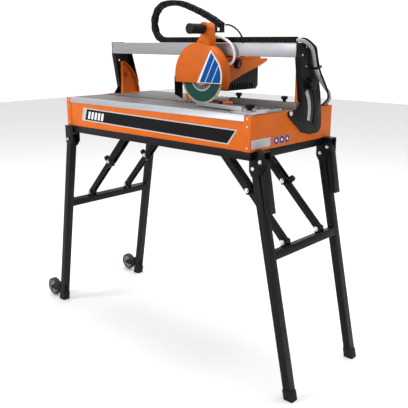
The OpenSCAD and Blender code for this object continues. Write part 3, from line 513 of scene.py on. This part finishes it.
drop_hose = tube("drop_hose", drop_hose_route, 6, grey_rubber, None)
drop_cable = tube("drop_cable", drop_cable_route, 3.5, black_rubber, None, 12)
for line in (drop_hose, drop_cable):
    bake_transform(line)
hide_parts("bridge_lines")
water_hose = tube("water_hose", water_hose_route, 4.4, clear_vinyl, "carriage", rib=0.25)
tube("motor_cable", motor_cable_route, 3, black_rubber, "carriage", 12)
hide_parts("carriage_lines")

# Tie round both lines on the bracket, hose clips, and the strain relief on the plate
tie = Builder()
tie.prism([(-13, -6), (13, 0), (15, 7), (-11, 1)], TIE - X * 0.008, Y, Z, 21)
tie.prism([(10, -4), (19, -2), (19, 3), (10, 2)], TIE - X * 0.003, Y, Z, 6)
tie.piece("line_tie", black_plastic, "bridge", False, "black_plastic")
clips = Builder()
for x, axis in ((124, X), (181, X)):
    centre = at(x, 3, 1139.7 if x == 124 else 1045.2)
    clips.lathe([(4.5, -3), (6.2, -3), (6.6, 0), (6.2, 3), (4.5, 3)], centre, axis, 24)
clips.piece("hose_clips", steel, "carriage", True, "bright_steel")
relief = Builder()
relief.lathe([(0.5, 0), (9, 0), (9, 5), (6, 7), (4.6, 20), (0.5, 20)], at(156.5, 113.8, 1070), Z, 24)
relief.piece("cable_gland", black_plastic, "carriage", True, "black_plastic")


# ---- Energy chain ----

rail_low, rail_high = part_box("rail")
RAIL_TOP = rail_high.z * 1000
CHAIN_Y = rail_low.y * 1000 + 18
CHAIN_LOW = RAIL_TOP + 11
bend_points = [
    (-150, CHAIN_LOW), (-176, CHAIN_LOW + 1), (-196, 1136), (-213, 1152), (-223, 1176), (-224, 1202),
    (-215, 1226), (-199, 1245), (-177, 1257), (-150, 1262.5), (-116, 1263.4),
]
upper_points = [(-80, 1260), (-45, 1251), (-10, 1239), (25, 1226), (60, 1211), (92, 1196), (117, 1182)]
LINK = 19.0


def chain_places():
    """Centre and direction of every link, from the rail's end round the bend to the head."""
    route = [at(x, CHAIN_Y, z) for x, z in [(452, CHAIN_LOW), (150, CHAIN_LOW), *bend_points, *upper_points]]
    line = curve_through(route, 12)
    left, out, last = 0.0, [], line[0]
    for p in line[1:]:
        step = (p - last).length * 1000
        while step and left + step >= LINK:
            last = last.lerp(p, (LINK - left) / step)
            step = (p - last).length * 1000
            left = 0.0
            out.append((last.copy(), (p - last).normalized() if step > 0.01 else out[-1][1]))
        left += step
        last = p
    return out


def link(made, centre, along, odd):
    """One link: two side plates, narrower on every other link, and a bar above and below."""
    up = Y.cross(along).normalized()
    half, end, thick = 10.0, 12.5, 2.0
    outline = (
        arc(end - 5, half - 5, 5, 90, 0, 3) + arc(end - 5, 5 - half, 5, 0, -90, 3)
        + arc(5 - end, 5 - half, 5, 270, 180, 3) + arc(5 - end, half - 5, 5, 180, 90, 3)
    )
    for side in (-1, 1):
        plate = 9 - 2 * odd if side > 0 else 2 * odd - 9 - thick
        boss = 11 - 2 * odd if side > 0 else 2 * odd - 11.8
        made.prism(outline, centre + Y * plate / 1000, along, up, thick)
        made.prism(arc(8, 0, 3, 0, 315, 7), centre + Y * boss / 1000, along, up, 0.8)
        bar = [(-4.5, side * 8.4 - 0.9), (4.5, side * 8.4 - 0.9), (4.5, side * 8.4 + 0.9), (-4.5, side * 8.4 + 0.9)]
        made.prism(bar, centre - Y * 0.0095, along, up, 19)


lower, bend, upper = Builder(), Builder(), Builder()
turn = at(-150, 0, 0).x
for number, (centre, along) in enumerate(chain_places()):
    low_run = centre.z < at(0, 0, CHAIN_LOW + 0.5).z and centre.x > turn
    high_run = centre.z > at(0, 0, 1150).z and centre.x > at(-116, 0, 0).x
    link(lower if low_run else upper if high_run else bend, centre, along, number % 2)
chain_run = lower.piece("chain_links_lower", chain_plastic, None, slot="black_plastic")
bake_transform(chain_run)
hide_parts("chain_lower")
chain_turn = bend.piece("chain_links_bend", chain_plastic, "chain_bend", slot="black_plastic")
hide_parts("chain_bend")
chain_head = upper.piece("chain_links_upper", chain_plastic, None, slot="black_plastic")
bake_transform(chain_head)
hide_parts("chain_upper")


# ---- Printed films and labels ----


def bar(x, z, w, h, lean):
    return [(x, z), (x + w, z), (x + w + lean, z + h), (x + lean, z + h)]


# Front band: silver outline, black field, and a few leaning bars
panel_low, panel_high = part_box("long_panels")
FRONT = at(0, panel_low.y * 1000, 0)
plates(
    "front_band_outline", [[(-376, 824), (381, 813), (417, 862), (-362, 874)]], FRONT, X, Z, 0.3, silver_ink, "base"
)
plates(
    "front_band_field", [[(-354, 828), (377, 816.5), (409, 858.5), (-340, 869.5)]], FRONT - Y * 0.0003, X, Z, 0.2,
    black_ink, "base",
)
plates(
    "front_band_bars", [bar(-336 + 20 * i, 833 - 0.4 * i, 12, 28, 8) for i in range(5)], FRONT - Y * 0.0005, X, Z,
    0.15, white_ink, "base",
)

# Guard film: a blue wedge with a white edge and two pale lines
cover_low, cover_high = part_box("guard_cover")
GUARD = at(0, cover_low.y * 1000, 0)
plates(
    "guard_film_edge", [[(80, 981), (194, 981), (198, 1000), (196.5, 1022), (186, 1050), (146, 1096)]], GUARD, X, Z,
    0.3, white_ink, "carriage",
)
plates(
    "guard_film_field", [[(93, 983), (189, 983), (193, 1001), (191.5, 1021), (182, 1047), (148, 1088)]],
    GUARD - Y * 0.0003, X, Z, 0.2, blue_ink, "carriage",
)
plates(
    "guard_film_lines",
    [
        [(117, 983.5), (121.5, 983.5), (165.8, 1066.5), (163, 1069.9)],
        [(148, 983.5), (152.5, 983.5), (183.6, 1042.8), (182, 1046.5)],
    ],
    GUARD - Y * 0.0005, X, Z, 0.15, sky_ink, "carriage",
)

# Right end: a pale plate and a row of round marks
END = at(470, 0, 0)
plates("rating_plate", [[(-223, 806), (-127, 806), (-127, 834), (-223, 834)]], END, Y, Z, 0.3, silver_ink, "base")
plates(
    "rating_plate_rows", [bar(-217, 811 + 7 * i, 60 - 14 * (i % 2), 2.2, 0) for i in range(3)], END + X * 0.0003,
    Y, Z, 0.15, grey_ink, "base",
)
marks = [(-96, 820), (-66, 820), (-36, 820)]
plates("round_marks", [arc(y, z, 12, 0, 345, 23) for y, z in marks], END, Y, Z, 0.3, blue_ink, "base")
plates(
    "round_mark_dots", [arc(y, z, 4.5, 0, 330, 11) for y, z in marks], END + X * 0.0003, Y, Z, 0.15, white_ink, "base"
)

# Tilt scales beside the brackets' slots, with a tick every five degrees
TILT_Y, TILT_Z = -30, 900
for side, name in ((1, "right"), (-1, "left")):
    outer = at(side * 475.5, 0, 0)
    u = Y * side
    flip = lambda points: [(side * a, b) for a, b in points]
    band = arc(TILT_Y, TILT_Z, 116, -17, 38, 18) + arc(TILT_Y, TILT_Z, 100, 38, -17, 18)
    plates("tilt_scale_" + name, [flip(band)], outer, u, Z, 0.3, grey_ink, "bridge")
    ticks = []
    for degree in range(-10, 36, 5):
        a = math.radians(degree)
        d, n = (math.cos(a), math.sin(a)), (-math.sin(a), math.cos(a))
        long = 104 if degree % 15 == 5 else 108
        ticks.append([
            (TILT_Y + d[0] * r + n[0] * w, TILT_Z + d[1] * r + n[1] * w)
            for r, w in ((long, -0.5), (115, -0.5), (115, 0.5), (long, 0.5))
        ])
    plates(
        "tilt_scale_ticks_" + name, [flip(t) for t in ticks], outer + X * side * 0.0003, u, Z, 0.15, black_ink,
        "bridge",
    )


# ---- Small fittings ----

grip_low, grip_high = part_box("grip")
GRIP = at(108, 0, 1166)
sleeve = Builder()
profile = [(15.0, -108)]
for i in range(19):
    y = -108 + 2.9 * i
    profile += [(16.3, y), (17.2, y + 0.8), (17.2, y + 1.7), (16.3, y + 2.5)]
profile += [(15.0, -52.5)]
sleeve.lathe(profile, GRIP, Y, 40)
sleeve.piece("grip_sleeve", black_rubber, "carriage", True, "black_rubber")


def hex_head(made, centre, axis, across=13, high=4.5):
    """A hexagon bolt head on a washer, standing on centre along axis."""
    a = axis.orthogonal().normalized()
    b = axis.cross(a)
    made.lathe([(0.2, 0), (across * 0.85, 0), (across * 0.85, 1.2), (0.2, 1.2)], centre, axis, 28)
    ring = [(across / 2 / math.cos(math.pi / 6) * math.cos(math.pi * k / 3),
             across / 2 / math.cos(math.pi / 6) * math.sin(math.pi * k / 3)) for k in range(6)]
    made.prism(ring, centre + axis * 0.0012, a, b, high)


def bolt_row(name, body, places, across=10, high=3.0):
    """Hexagon heads at (x, y, z, facing) places, one piece for one body."""
    made = Builder()
    for x, y, z, side in places:
        hex_head(made, at(x, y, z), Y * side, across, high)
    made.piece(name, steel, body, False, "bright_steel")


HINGES = {"right": ((468, 745), (495.5, 769.3)), "left": ((-461, 742),)}
bolt_row("hinge_nuts", "base", [
    (x, side * (leg_y + 22.5), z, side)
    for leg_y, where in ((190, "right"), (220, "left")) for x, z in HINGES[where] for side in (-1, 1)
], 6.5, 1.5)
CLEVIS = {"right": (521.3, 495.1), "left": (-504.1, 490.2)}
MIDDLE = {"right": (372.1, 643.6), "left": (-360.9, 644.3)}
for where in ("right", "left"):
    x, z = CLEVIS[where]
    bolt_row(where + "_clevis_nuts", where + "_lower_links", [
        (x, y + side * 18, z, side) for y in (-100, 100) for side in (-1, 1)
    ])
    x, z = MIDDLE[where]
    bolt_row(where + "_link_nuts", where + "_upper_links", [
        (x, y + side * 19, z, side) for y in (-100, 100) for side in (-1, 1)
    ])

for wheel, body in (("wheel_front", "wheel_front"), ("wheel_rear", "wheel_rear")):
    low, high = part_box(wheel)
    made = Builder()
    centre = (low + high) / 2
    cap = [(0.3, -13.6), (6, -13.6), (8, -12.6), (8.4, -11), (8.4, 11), (8, 12.6), (6, 13.6), (0.3, 13.6)]
    made.lathe(cap, centre, Y, 28)
    for k in range(36):
        t = 2 * math.pi * k / 36
        out = X * math.cos(t) + Z * math.sin(t)
        made.prism([(-8.5, -0.8), (8.5, -0.8), (8.5, 0.8), (-8.5, 0.8)], centre + out * 0.0375, Y, Y.cross(out) * -1, 0.7)
    made.piece(wheel + "_tread_bars", black_rubber, body, False, "wheel_plastic")


# Clamp on the angle arm, and the angle marks on its base
PIVOT = at(403, -150, 911.4)
clamp = Builder()
clamp.lathe([(0.2, 0), (4, 0), (4, 6), (8, 7), (8.5, 9), (8, 15), (5, 16), (0.2, 16)], at(268, -137, 919.8), Z, 24)
clamp.piece("arm_clamp_knob", black_plastic, "angle_arm", True, "black_plastic")
marks = []
for degree in range(120, 241, 10):
    d = Vector((math.cos(math.radians(degree)), math.sin(math.radians(degree)), 0))
    n = Z.cross(d)
    long = 44 if degree % 30 == 0 else 49
    marks.append([(d * a + n * b)[:2] for a, b in ((long, -0.5), (57, -0.5), (57, 0.5), (long, 0.5))])
plates("angle_marks", marks, PIVOT, X, Y, 0.15, black_ink, "angle_guide")


# ---- Floor and light ----

floor = piece("floor", [(-9, -9, 0), (9, -9, 0), (9, 9, 0), (-9, 9, 0)], [[0, 1, 2, 3]], white_ink, None)
paper = Shader("floor_paper", Roughness=0.9)
paper.set("Base Color", paper.mix(paper.noise(3, 2), (0.9, 0.9, 0.9), (0.93, 0.93, 0.93)))
floor.data.materials[0] = paper.material

# A white sweep behind the saw that dims towards the front and the right
world = bpy.data.worlds.new("studio")
world.use_nodes = True
tree = world.node_tree
background = tree.nodes["Background"]
background.inputs[0].default_value = (1, 1, 1, 1)
direction = tree.nodes.new("ShaderNodeTexCoord").outputs["Generated"]
towards = tree.nodes.new("ShaderNodeVectorMath")
towards.operation = "DOT_PRODUCT"
towards.inputs[1].default_value = (-0.78, 0.62, 0.1)
strength = tree.nodes.new("ShaderNodeMapRange")
for slot, value in (("From Min", -0.5), ("From Max", 0.6), ("To Min", 0.5), ("To Max", 1.1)):
    strength.inputs[slot].default_value = value
tree.links.new(direction, towards.inputs[0])
tree.links.new(towards.outputs["Value"], strength.inputs["Value"])
tree.links.new(strength.outputs[0], background.inputs[1])
bpy.context.scene.world = world


def area_light(name, place, target, size, power):
    data = bpy.data.lights.new(name, "AREA")
    data.size = size
    data.energy = power
    obj = bpy.data.objects.new(name, data)
    bpy.context.scene.collection.objects.link(obj)
    obj.location = place
    obj.rotation_euler = (Vector(target) - Vector(place)).to_track_quat("-Z", "Y").to_euler()


area_light("key", (-1.8, -3.4, 2.6), (0, 0, 0.8), 1.6, 88)
area_light("fill", (3.2, -1.2, 2.2), (0, 0, 0.8), 2.0, 12)
area_light("top", (0.2, 0.6, 3.8), (0, 0, 0.9), 2.4, 90)
bpy.context.scene.view_settings.view_transform = "Standard"
